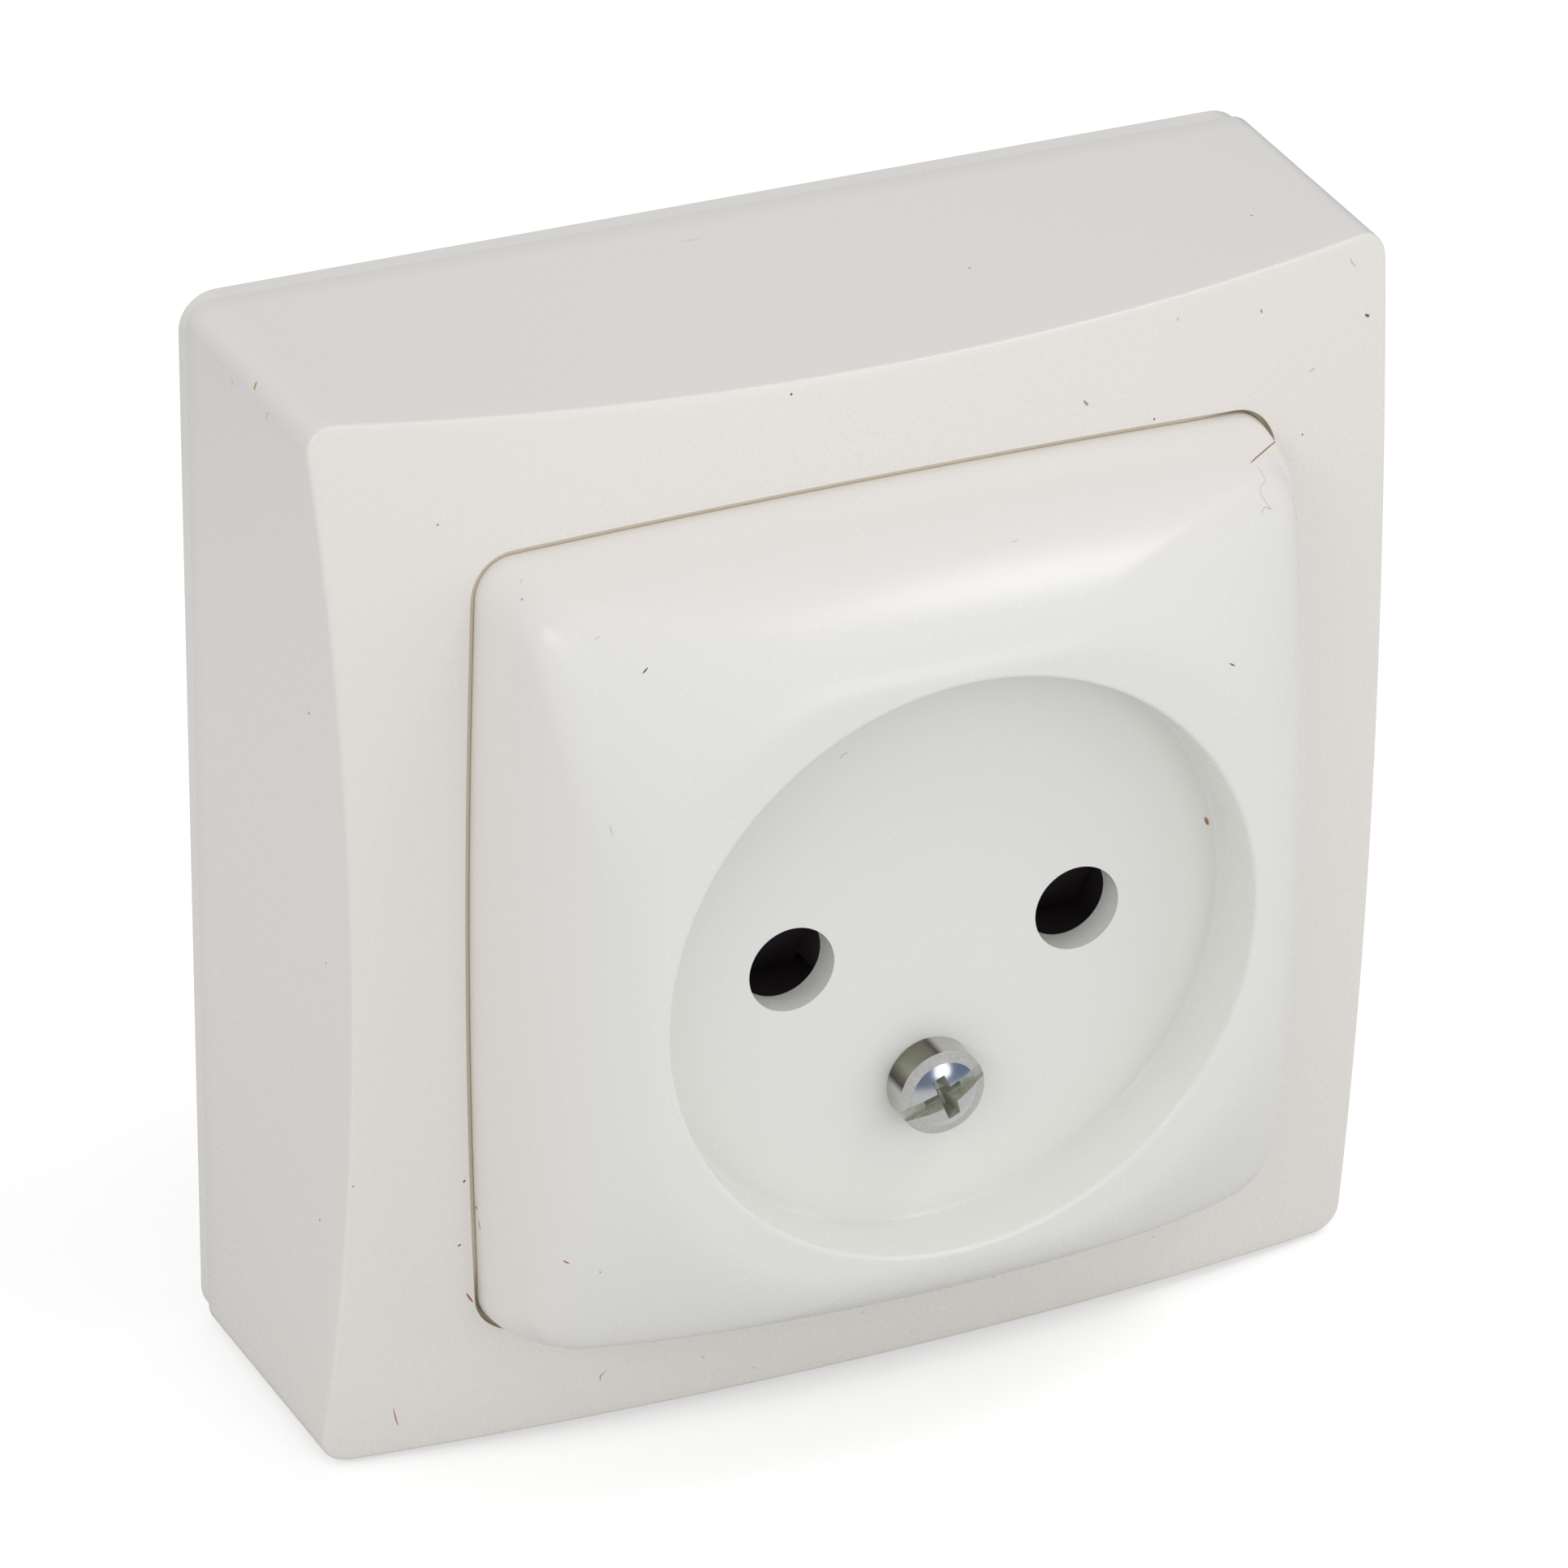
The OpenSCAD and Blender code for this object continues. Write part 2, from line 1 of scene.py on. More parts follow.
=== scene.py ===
import bpy
import json
import math
import numpy as np
from mathutils import Matrix, Quaternion, Vector
from mathutils.bvhtree import BVHTree
from mathutils.geometry import delaunay_2d_cdt


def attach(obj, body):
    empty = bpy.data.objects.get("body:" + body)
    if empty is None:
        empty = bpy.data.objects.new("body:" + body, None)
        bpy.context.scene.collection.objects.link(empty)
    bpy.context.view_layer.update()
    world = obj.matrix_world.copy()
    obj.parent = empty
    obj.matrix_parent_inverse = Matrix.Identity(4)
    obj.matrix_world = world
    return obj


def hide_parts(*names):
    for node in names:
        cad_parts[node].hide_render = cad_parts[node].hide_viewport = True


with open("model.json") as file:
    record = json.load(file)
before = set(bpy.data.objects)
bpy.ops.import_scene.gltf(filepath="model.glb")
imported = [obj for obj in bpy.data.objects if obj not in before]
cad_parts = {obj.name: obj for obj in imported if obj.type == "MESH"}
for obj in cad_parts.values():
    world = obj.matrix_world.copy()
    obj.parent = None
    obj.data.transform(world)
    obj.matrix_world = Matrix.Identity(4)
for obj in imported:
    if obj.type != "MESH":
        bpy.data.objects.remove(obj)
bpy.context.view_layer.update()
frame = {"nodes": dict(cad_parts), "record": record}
nodes = frame["nodes"]

MM = 0.001

# Sizes in millimetres, seen from the front: x to the right, y up the wall, h out from the wall.
BACK_HALF = 35.7
BACK_CORNER = 1.6
BACK_EDGE = 0.03
FRONT_HALF = 35.5
FRONT_CORNER = 1.9
FRONT_WALL = 2.2
BAND = 1.3
CROWN_TOP = 26.5
CROWN_R = 180.0
PINCH = 1.05
CREASE = 0.28
OPENING_HALF = 27.6
BARREL_R = 265.0
OPENING_CORNER = 3.0
OPENING_LIP = 0.04
LEDGE = 0.27
UPPER_RISE = 0.35
RISE_FROM = 20.0
RISE_OVER = 7.0
CAVITY_HALF = 33.7
CAVITY_CORNER = 2.4
COLLAR_LOW = 17.0
COLLAR_WALL = 1.5
COVER_HALF = 27.3
COVER_WALL = 2.0
SKIRT_CORNER = 3.4
SKIRT_HEIGHTS = (18.9, 21.5, 23.6, 23.9)
CUP_HALF = 23.2
CUP_CORNER = 3.2
GAP_DEPTH = 0.13
CORNER_GAP_DEPTH = 0.6
CORNER_GAP_FROM = 21.0
CORNER_GAP_OVER = 4.0
RIM_R = 19.36
RIM_FILLET = 0.3
WALL_FOOT_H = 33.0
FLOOR_R = 19.2
FLOOR_FILLET = 0.3
FLOOR_H = 31.5
FLOOR_BACK = 29.5
PIN_X = 9.5
PIN_R = 2.8
PIN_SEGMENTS = 96
SCREW_Y = -9.5
SCREW_HOLE_R = 1.6
SCREW_HOLE_SEGMENTS = 48
HOLE_BORDER = 0.15
FACE_TOP = 37.0
COVER_EDGE = 24.2
FACE_HALF = 19.8
FLANK_LEAN = 86.0
FLANK_PULL = 5.6
FACE_PULL = 3.2
FLANK_BOW_R = 370.0
COVER_CORNER = 2.7
RIDGE_R = 3.5
RIDGE_TOP = 30.2
FACE_CORNER = 14.5


def at(x, y, h):
    """World position in metres of a point given in millimetres."""
    return (x * MM, -h * MM, y * MM)


def smooth(mesh):
    mesh.polygons.foreach_set("use_smooth", [True] * len(mesh.polygons))
    mesh.update()


def new_object(name, verts, faces):
    mesh = bpy.data.meshes.new(name)
    mesh.from_pydata([at(*v) for v in verts], [], faces)
    mesh.validate()
    smooth(mesh)
    obj = bpy.data.objects.new(name, mesh)
    bpy.context.scene.collection.objects.link(obj)
    return obj


def bridge(faces, a, b, n):
    """Quads between two closed rings of n points that start at a and b."""
    for i in range(n):
        j = (i + 1) % n
        faces.append((a + i, a + j, b + j, b + i))


# Housing

SIDE = 40
CORNER = 10


def rounded(half, corner, pinch=0.0):
    """Square outline with round corners, drawn in by pinch at the middle of each side."""
    c = half - corner
    pts = []
    for k in range(4):
        run = [(half, -c + 2 * c * i / SIDE) for i in range(SIDE)]
        run += [(c + corner * math.cos(t), c + corner * math.sin(t))
                for t in (math.pi / 2 * i / CORNER for i in range(CORNER))]
        turn = k * math.pi / 2
        for x, y in run:
            pts.append((x * math.cos(turn) - y * math.sin(turn), x * math.sin(turn) + y * math.cos(turn)))
    p = np.array(pts)
    x, y = p[:, 0], p[:, 1]
    return np.c_[x * (1 - pinch / half * (1 - (y / half) ** 2)),
                 y * (1 - pinch / half * (1 - (x / half) ** 2))]


def barrel(half, corner, bow=BARREL_R):
    """Square outline with round corners and sides that bow out, with as many points as rounded()."""
    k = bow - half
    c = (math.sqrt(2 * (bow - corner) ** 2 - k * k) - k) / 2
    turn = math.atan2(c, c + k)
    pts = []
    for q in range(4):
        run = [(bow * math.cos(t) - k, bow * math.sin(t))
               for t in (turn * (2 * i / SIDE - 1) for i in range(SIDE))]
        run += [(c + corner * math.cos(t), c + corner * math.sin(t))
                for t in (turn + (math.pi / 2 - 2 * turn) * i / CORNER for i in range(CORNER))]
        a = q * math.pi / 2
        for x, y in run:
            pts.append((x * math.cos(a) - y * math.sin(a), x * math.sin(a) + y * math.cos(a)))
    return np.array(pts)


def raised(p):
    """The points of an outline with its upper side moved up."""
    q = np.array(p, dtype=float)
    q[:, 1] += UPPER_RISE * np.clip((q[:, 1] - RISE_FROM) / RISE_OVER, 0, 1)
    return q


def crown(p):
    """Height of the housing's crowned front at each point."""
    return CROWN_TOP - CROWN_R + np.sqrt(CROWN_R * CROWN_R - (p ** 2).sum(1))


def with_h(p, h):
    return np.c_[p, np.broadcast_to(h, len(p))]


def bezier(a, b, c, steps):
    """Rings along the curve from a to c that leaves and arrives in the direction of b."""
    return [(1 - t) ** 2 * a + 2 * t * (1 - t) * b + t * t * c for t in np.linspace(0, 1, steps)]


def housing_rings():
    """Rings of the housing's section from the back edge over the front and back inside."""
    low = rounded(BACK_HALF, BACK_CORNER)
    inner_low = rounded(BACK_HALF - BACK_EDGE, BACK_CORNER - BACK_EDGE)
    rings = bezier(with_h(inner_low, BAND), with_h(low, BAND), with_h(low, BAND + BACK_EDGE), 4)
    top_ring = rounded(FRONT_HALF, FRONT_CORNER, PINCH)
    top_h = crown(top_ring)
    first = with_h(low, BAND + BACK_EDGE)
    last = with_h(top_ring, top_h - CREASE)
    for t in np.linspace(0, 1, 12)[1:-1]:
        half = BACK_HALF + (FRONT_HALF - BACK_HALF) * t
        ring = rounded(half, BACK_CORNER + (FRONT_CORNER - BACK_CORNER) * t, PINCH * t)
        rings.append(np.c_[ring, first[:, 2] + (last[:, 2] - first[:, 2]) * t])
    inner = rounded(FRONT_HALF - CREASE, FRONT_CORNER - CREASE, PINCH)
    rings += bezier(last, with_h(top_ring, top_h), with_h(inner, crown(inner)), 7)
    opening = raised(barrel(OPENING_HALF, OPENING_CORNER))
    opening_out = raised(barrel(OPENING_HALF + OPENING_LIP, OPENING_CORNER + OPENING_LIP))
    for t in np.linspace(0, 1, 16)[1:-1]:
        ring = inner + (opening_out - inner) * t
        rings.append(with_h(ring, crown(ring)))
    rings += bezier(with_h(opening_out, crown(opening_out)), with_h(opening, crown(opening)),
                    with_h(opening, crown(opening) - OPENING_LIP), 6)
    ledge = raised(barrel(OPENING_HALF - LEDGE, OPENING_CORNER - LEDGE))
    gap_first = len(rings) - 1
    # the dust lies deeper in the upper right and lower left corners
    into_corner = np.clip((np.abs(opening).min(1) - CORNER_GAP_FROM) / CORNER_GAP_OVER, 0, 1)
    into_corner = into_corner * (opening[:, 0] * opening[:, 1] > 0)
    gap_h = crown(opening) - GAP_DEPTH - (CORNER_GAP_DEPTH - GAP_DEPTH) * into_corner
    rings.append(with_h(opening, gap_h + 0.06))
    rings += bezier(with_h(opening, gap_h + 0.04), with_h(opening, gap_h), with_h(ledge, gap_h), 4)
    rings.append(with_h(ledge, gap_h - 1.0))
    gap_last = len(rings)
    rings.append(with_h(opening, gap_h - 1.1))
    rings.append(with_h(opening, COLLAR_LOW))
    collar = barrel(OPENING_HALF + COLLAR_WALL, OPENING_CORNER + COLLAR_WALL)
    rings.append(with_h(collar, COLLAR_LOW))
    rings.append(with_h(collar, crown(collar) - FRONT_WALL))
    cavity = rounded(CAVITY_HALF, CAVITY_CORNER)
    rings.append(with_h(cavity, crown(cavity) - FRONT_WALL))
    rings.append(with_h(cavity, BAND))
    return rings, gap_first, gap_last


def build_housing():
    rings, gap_first, gap_last = housing_rings()
    n = len(rings[0])
    verts = [tuple(p) for ring in rings for p in ring]
    faces = []
    for k in range(len(rings)):
        bridge(faces, k * n, ((k + 1) % len(rings)) * n, n)
    return new_object("housing_shell", verts, faces), range(gap_first * n, gap_last * n)


# Cover plate

RAYS = 480
FLANK_STEPS = 34
COVER_SHARP = math.radians(35)


def ray_angle(i):
    """Rays lie closer together towards the corners."""
    quarter, step = divmod(i, RAYS // 4)
    s = step / (RAYS // 8) - 1
    t = abs(s)
    return math.pi / 2 * quarter + math.copysign(math.pi / 4 * (0.45 * t + 0.55 * (1 - (1 - t) ** 2)), s)


def fold(phi):
    """Angle of a ray measured from the middle of the nearest side, from 0 to 45 degrees."""
    return abs((phi + math.pi / 4) % (math.pi / 2) - math.pi / 4)


def reach(half, corner, phi, bow=BARREL_R):
    """Distance from the middle to the barrel outline along a ray."""
    a = fold(phi)
    k = bow - half
    r = -k * math.cos(a) + math.sqrt(bow * bow - (k * math.sin(a)) ** 2)
    c = (math.sqrt(2 * (bow - corner) ** 2 - k * k) - k) / 2
    turn = math.atan2(c, c + k)
    if r * math.sin(a) <= bow * math.sin(turn):
        return r
    s = c * (math.cos(a) + math.sin(a))
    return s + math.sqrt(max(0.0, s * s - 2 * c * c + corner * corner))


def cover_profile():
    """(half width, height at the middle of a side, corner radius, side radius) from the skirt to the face."""
    slope = math.asin(FACE_HALF / CROWN_R)
    lean = math.radians(FLANK_LEAN)
    low = np.array([COVER_HALF, COVER_EDGE])
    end = np.array([FACE_HALF, FACE_TOP - CROWN_R * (1 - math.cos(slope))])
    low_pull = low + FLANK_PULL * np.array([-math.cos(lean), math.sin(lean)])
    end_pull = end + FACE_PULL * np.array([math.cos(slope), -math.sin(slope)])
    rows = [(COVER_HALF, h, COVER_CORNER, BARREL_R) for h in SKIRT_HEIGHTS]
    for t in np.linspace(0, 1, FLANK_STEPS):
        u, h = ((1 - t) ** 3 * low + 3 * t * (1 - t) ** 2 * low_pull
                + 3 * t * t * (1 - t) * end_pull + t ** 3 * end)
        if h < RIDGE_TOP:
            corner = COVER_CORNER + (RIDGE_R - COVER_CORNER) * (h - COVER_EDGE) / (RIDGE_TOP - COVER_EDGE)
        else:
            s = min(1.0, (h - RIDGE_TOP) / (end[1] - RIDGE_TOP))
            corner = RIDGE_R + (FACE_CORNER - RIDGE_R) * math.sin(math.pi / 2 * s)
        blend = min(1.0, 3 * t)
        rows.append((u, h, corner, 1 / ((1 - blend) / BARREL_R + blend / FLANK_BOW_R)))
    return rows


def build_cover():
    phis = [ray_angle(i) for i in range(RAYS)]
    unit = np.array([(math.cos(p), math.sin(p)) for p in phis])
    rings = []
    for half, h, corner, bow in cover_profile():
        r = np.array([reach(half, corner, p, bow) for p in phis])
        rings.append(np.c_[raised(unit * r[:, None]), h - (r * r - half * half) / (2 * CROWN_R)])
    rim_out = RIM_R + RIM_FILLET
    last = np.maximum(np.hypot(rings[-1][:, 0], rings[-1][:, 1]), rim_out + 0.02)

    def face_h(r):
        return FACE_TOP - r * r / (2 * CROWN_R)

    for t in np.linspace(0, 1, 7)[1:]:
        r = last + (rim_out - last) * t
        rings.append(np.c_[unit * r[:, None], face_h(r)])
    top_h = face_h(rim_out)

    def circle(r, h):
        return np.c_[unit * r, np.full(RAYS, h)]

    rings += bezier(circle(rim_out, top_h), circle(RIM_R, top_h + 0.02),
                    circle(RIM_R - 0.01, top_h - RIM_FILLET), 6)[1:]
    rings.append(circle(FLOOR_R + 0.06, WALL_FOOT_H))
    rings += bezier(circle(FLOOR_R, FLOOR_H + FLOOR_FILLET), circle(FLOOR_R, FLOOR_H),
                    circle(FLOOR_R - FLOOR_FILLET, FLOOR_H), 6)
    rings.append(circle(FLOOR_R - FLOOR_FILLET - 0.12, FLOOR_H))
    n = RAYS
    verts = [tuple(p) for ring in rings for p in ring]
    faces = []
    for k in range(len(rings) - 1):
        bridge(faces, k * n, (k + 1) * n, n)
    floor_ring = [(len(rings) - 1) * n + i for i in range(n)]

    # underside: up the inside of the skirt and across the back of the floor
    skirt_h = rings[0][:, 2]
    r_in = np.array([reach(COVER_HALF - COVER_WALL, SKIRT_CORNER, p) for p in phis])
    a = len(verts)
    verts += [tuple(p) for p in np.c_[unit * r_in[:, None], skirt_h]]
    bridge(faces, a, 0, n)
    b = len(verts)
    r_up = np.array([reach(CUP_HALF, CUP_CORNER, p) for p in phis])
    verts += [tuple(p) for p in np.c_[unit * r_up[:, None], np.full(n, FLOOR_BACK)]]
    bridge(faces, b, a, n)
    back_ring = [b + i for i in range(n)]

    holes = [(-PIN_X, 0.0, PIN_R, PIN_SEGMENTS), (PIN_X, 0.0, PIN_R, PIN_SEGMENTS),
             (0.0, SCREW_Y, SCREW_HOLE_R, SCREW_HOLE_SEGMENTS)]
    floor_loops = []
    back_loops = []
    for hx, hy, hr, m in holes:
        levels = [(hr + HOLE_BORDER, FLOOR_H), (hr, FLOOR_H), (hr, FLOOR_BACK)]
        starts = []
        for r, h in levels:
            starts.append(len(verts))
            verts += [(hx + r * math.cos(2 * math.pi * i / m), hy + r * math.sin(2 * math.pi * i / m), h)
                      for i in range(m)]
        for s, e in zip(starts, starts[1:]):
            bridge(faces, s, e, m)
        floor_loops.append([starts[0] + i for i in range(m)])
        back_loops.append([starts[-1] + i for i in range(m)])

    # flat fill between the outer ring and the holes; a triangle within one hole's loop is left out
    for outer, loops, flip in ((floor_ring, floor_loops, False), (back_ring, back_loops, True)):
        index = outer + [i for loop in loops for i in loop]
        flat = [Vector((verts[i][0], verts[i][1])) for i in index]
        edges = [(i, (i + 1) % len(outer)) for i in range(len(outer))]
        base = len(outer)
        for loop in loops:
            m = len(loop)
            edges += [(base + (i + 1) % m, base + i) for i in range(m)]
            base += m
        _, _, tris, origin = delaunay_2d_cdt(flat, edges, [], 0, 1e-6)[:4]
        owner = [-1] * len(outer) + [k for k, loop in enumerate(loops) for _ in loop]
        for tri in tris:
            corners = [origin[i][0] for i in tri]
            if owner[corners[0]] >= 0 and len({owner[c] for c in corners}) == 1:
                continue
            keep = [index[c] for c in corners]
            faces.append(keep[::-1] if flip else keep)
    obj = new_object("cover_shell", verts, faces)
    obj.data.set_sharp_from_angle(angle=COVER_SHARP)
    return obj


# Cover screw

HEAD_R = 2.83
HEAD_X = -0.24
HEAD_Y = SCREW_Y - 0.1
RING_H = 33.5
DOME_R = 2.16
DOME_TOP = 34.2
DOME_STEPS = 16
HEAD_SEGMENTS = 128
SHANK_R = 1.45
SHANK_END = 16.0
HEAD_SHARP = math.radians(28)
RECESS_TURN = math.radians(22.5)


def spun(name, profile, n, x, y):
    """Closed solid of revolution from (radius, height) pairs that start and end on the axis."""
    verts = [(x, y, profile[0][1])]
    for r, h in profile[1:-1]:
        verts += [(x + r * math.cos(2 * math.pi * i / n), y + r * math.sin(2 * math.pi * i / n), h)
                  for i in range(n)]
    verts.append((x, y, profile[-1][1]))
    last = len(verts) - 1
    faces = [(0, 1 + (i + 1) % n, 1 + i) for i in range(n)]
    rings = len(profile) - 2
    for k in range(rings - 1):
        bridge(faces, 1 + k * n, 1 + (k + 1) * n, n)
    base = 1 + (rings - 1) * n
    faces += [(base + i, base + (i + 1) % n, last) for i in range(n)]
    return new_object(name, verts, faces)


def recess_cutter(name, half_length, half_width, floor_h, lean, shift=0.0, turn=0.0):
    """A wedge that narrows downwards, turned with the recess of the head."""
    top_h = DOME_TOP + 0.6
    grow = (top_h - floor_h) * lean
    verts = []
    for h, g in ((floor_h, 0.0), (top_h, grow)):
        for x, y in ((-1, -1), (1, -1), (1, 1), (-1, 1)):
            u = x * (half_length + g) + shift
            v = y * (half_width + g)
            a = RECESS_TURN + turn
            verts.append((HEAD_X + u * math.cos(a) - v * math.sin(a),
                          HEAD_Y + u * math.sin(a) + v * math.cos(a), h))
    faces = [(3, 2, 1, 0), (4, 5, 6, 7), (0, 1, 5, 4), (1, 2, 6, 5), (2, 3, 7, 6), (3, 0, 4, 7)]
    return new_object(name, verts, faces)


def build_screw():
    profile = [(0, SHANK_END), (SHANK_R - 0.25, SHANK_END), (SHANK_R, SHANK_END + 0.4),
               (SHANK_R, FLOOR_H), (HEAD_R - 0.08, FLOOR_H),
               (HEAD_R - 0.02, FLOOR_H + 0.02), (HEAD_R, FLOOR_H + 0.08), (HEAD_R, 32.2), (HEAD_R, 32.9),
               (HEAD_R, RING_H - 0.14), (HEAD_R - 0.02, RING_H - 0.05), (HEAD_R - 0.07, RING_H + 0.01),
               (HEAD_R - 0.3, RING_H + 0.1), (DOME_R + 0.03, RING_H + 0.17), (DOME_R, RING_H + 0.21)]
    sag = DOME_TOP - RING_H - 0.21
    ball = (DOME_R ** 2 + sag ** 2) / (2 * sag)
    for i in range(1, DOME_STEPS):
        r = DOME_R * (1 - i / DOME_STEPS)
        profile.append((r, DOME_TOP - ball + math.sqrt(ball * ball - r * r)))
    profile.append((0, DOME_TOP))
    obj = spun("cover_screw_head", profile, HEAD_SEGMENTS, HEAD_X, HEAD_Y)
    for mat in (ZINC_SIDE, ZINC_RING, ZINC_DOME, RECESS_METAL):
        obj.data.materials.append(mat)
    for poly in obj.data.polygons:
        h = -poly.center.y / MM
        r = math.hypot(poly.center.x / MM - HEAD_X, poly.center.z / MM - HEAD_Y)
        if h < RING_H - 0.03:
            poly.material_index = 0
        elif r > DOME_R - 0.01:
            poly.material_index = 1
        else:
            poly.material_index = 2
    cuts = [recess_cutter("cut_slot", 3.2, 0.4, RING_H - 0.15, 0.25),
            recess_cutter("cut_wing", 1.1, 0.2, 32.7, 0.25),
            recess_cutter("cut_arm", 1.25, 0.1, 32.75, 0.26, -0.1, math.pi / 2)]
    for cut in cuts:
        dress(cut, RECESS_METAL)
        step = obj.modifiers.new(cut.name, "BOOLEAN")
        step.operation = "DIFFERENCE"
        step.solver = "EXACT"
        step.object = cut
        step.material_mode = "TRANSFER"
    bpy.context.view_layer.update()
    mesh = bpy.data.meshes.new_from_object(obj.evaluated_get(bpy.context.evaluated_depsgraph_get()))
    obj.modifiers.clear()
    obj.data = mesh
    smooth(mesh)
    mesh.set_sharp_from_angle(angle=HEAD_SHARP)
    for cut in cuts:
        bpy.data.objects.remove(cut, do_unlink=True)
    return obj


# Materials

ROUGH_CHANGE = 0.05


def material(name, color, rough, spec=0.5, metallic=0.0):
    m = bpy.data.materials.new(name)
    m.use_nodes = True
    tree = m.node_tree
    shader = tree.nodes["Principled BSDF"]
    shader.inputs["Base Color"].default_value = (*color, 1)
    shader.inputs["Roughness"].default_value = rough
    shader.inputs["Metallic"].default_value = metallic
    shader.inputs["Specular IOR Level"].default_value = spec
    return m, tree, shader


def add(tree, kind, **values):
    """A node with its settings and its sockets' values set."""
    node = tree.nodes.new(kind)
    for key, value in values.items():
        if hasattr(node, key):
            setattr(node, key, value)
        else:
            node.inputs[key].default_value = value
    return node


def object_coords(tree):
    return tree.nodes.new("ShaderNodeTexCoord").outputs["Object"]


def grained(name, color, rough, spec=0.5, metallic=0.0, fine=2600.0, depth=0.00002, drift=0.03,
            strength=0.25, slow=60.0):
    """A surface with a fine bump, and with tone and roughness that vary at the scale of slow."""
    m, tree, shader = material(name, color, rough, spec, metallic)
    coords = object_coords(tree)
    grain = add(tree, "ShaderNodeTexNoise", Scale=fine, Detail=2.0, Roughness=0.5)
    tree.links.new(coords, grain.inputs["Vector"])
    bump = add(tree, "ShaderNodeBump", Strength=strength, Distance=depth)
    tree.links.new(grain.outputs["Fac"], bump.inputs["Height"])
    tree.links.new(bump.outputs["Normal"], shader.inputs["Normal"])
    change = add(tree, "ShaderNodeTexNoise", Scale=slow, Detail=3.0, Roughness=0.6)
    tree.links.new(coords, change.inputs["Vector"])
    tone = tree.nodes.new("ShaderNodeMapRange")
    tone.inputs["To Min"].default_value = rough - ROUGH_CHANGE
    tone.inputs["To Max"].default_value = rough + ROUGH_CHANGE
    tree.links.new(change.outputs["Fac"], tone.inputs["Value"])
    tree.links.new(tone.outputs["Result"], shader.inputs["Roughness"])
    mix = tree.nodes.new("ShaderNodeMix")
    mix.data_type = "RGBA"
    mix.inputs["A"].default_value = (*[c * (1 - drift) for c in color], 1)
    mix.inputs["B"].default_value = (*[min(1, c * (1 + drift)) for c in color], 1)
    tree.links.new(change.outputs["Fac"], mix.inputs["Factor"])
    tree.links.new(mix.outputs["Result"], shader.inputs["Base Color"])
    return m


WHITE = grained("white_satin_plastic", (0.855, 0.829, 0.789), 0.28, drift=0.005, slow=4000.0)
COVER_WHITE = grained("cover_satin_plastic", (0.836, 0.843, 0.802), 0.26, drift=0.005, slow=4000.0)
GAP_DUST = grained("gap_dust", (0.68, 0.62, 0.49), 0.9, spec=0.1, drift=0.1)
BLACK = grained("black_plastic", (0.075, 0.058, 0.070), 0.6, spec=0.4)
GREY = grained("grey_plastic", (0.42, 0.41, 0.38), 0.5)
BRASS = grained("brass", (0.72, 0.52, 0.24), 0.32, metallic=1.0)
ZINC = grained("zinc_plate", (0.62, 0.63, 0.64), 0.28, metallic=1.0, fine=1500.0, depth=0.00003)
ZINC_SIDE = grained("zinc_side", (0.66, 0.65, 0.63), 0.16, metallic=1.0, fine=900.0, depth=0.00001)
ZINC_RING = grained("zinc_ring", (0.58, 0.575, 0.55), 0.5, metallic=0.4, fine=3200.0, depth=0.00008,
                    drift=0.26, strength=0.6, slow=4500.0)
ZINC_DOME = grained("zinc_dome", (0.72, 0.73, 0.74), 0.21, metallic=1.0, fine=2500.0, depth=0.00001)
RECESS_METAL = grained("recess_metal", (0.52, 0.53, 0.45), 0.35, metallic=0.55, fine=1800.0,
                       depth=0.0001, drift=0.4, strength=0.6, slow=2600.0)

# Painted reflection around the side of the screw head, with a dark olive patch on its upper left: degrees
# from the right, colour
SIDE_FROM = 80
SIDE_TO = 180
SIDE_REFLECTION_TONES = [(88, (0.60, 0.585, 0.55)), (97, (0.10, 0.09, 0.08)), (104, (0.22, 0.21, 0.17)),
              (120, (0.27, 0.27, 0.21)), (142, (0.34, 0.34, 0.28)), (154, (0.16, 0.15, 0.12)),
              (161, (0.09, 0.08, 0.07)), (170, (0.62, 0.60, 0.58))]


def paint_side_reflection():
    """Painted reflection: the dark olive patch on the upper left of the screw head's side stands in for dark
    surroundings mirrored in the plating.
    """
    tree = ZINC_SIDE.node_tree
    place = tree.nodes.new("ShaderNodeSeparateXYZ")
    tree.links.new(object_coords(tree), place.inputs[0])
    from_x = add(tree, "ShaderNodeMath", operation="SUBTRACT")
    from_x.inputs[1].default_value = HEAD_X * MM
    tree.links.new(place.outputs["X"], from_x.inputs[0])
    from_y = add(tree, "ShaderNodeMath", operation="SUBTRACT")
    from_y.inputs[1].default_value = HEAD_Y * MM
    tree.links.new(place.outputs["Z"], from_y.inputs[0])
    angle = add(tree, "ShaderNodeMath", operation="ARCTAN2")
    tree.links.new(from_y.outputs[0], angle.inputs[0])
    tree.links.new(from_x.outputs[0], angle.inputs[1])
    turn = tree.nodes.new("ShaderNodeMapRange")
    turn.inputs["From Min"].default_value = math.radians(SIDE_FROM)
    turn.inputs["From Max"].default_value = math.radians(SIDE_TO)
    tree.links.new(angle.outputs[0], turn.inputs["Value"])
    ramp = tree.nodes.new("ShaderNodeValToRGB")
    band = ramp.color_ramp
    for k, (degrees, tone) in enumerate(SIDE_REFLECTION_TONES):
        spot = (degrees - SIDE_FROM) / (SIDE_TO - SIDE_FROM)
        stop = band.elements[0] if k == 0 else band.elements.new(spot)
        stop.position = spot
        stop.color = (*tone, 1)
    band.elements.remove(band.elements[len(band.elements) - 1])
    tree.links.new(turn.outputs["Result"], ramp.inputs["Fac"])
    shader = tree.nodes["Principled BSDF"]
    tree.links.new(ramp.outputs["Color"], shader.inputs["Base Color"])


# paints the reflection on the side of the screw head
paint_side_reflection()


BORDER_FROM = 21.0
BORDER_TO = 25.5
BORDER_TONE = (0.85, 0.825, 0.79, 1)


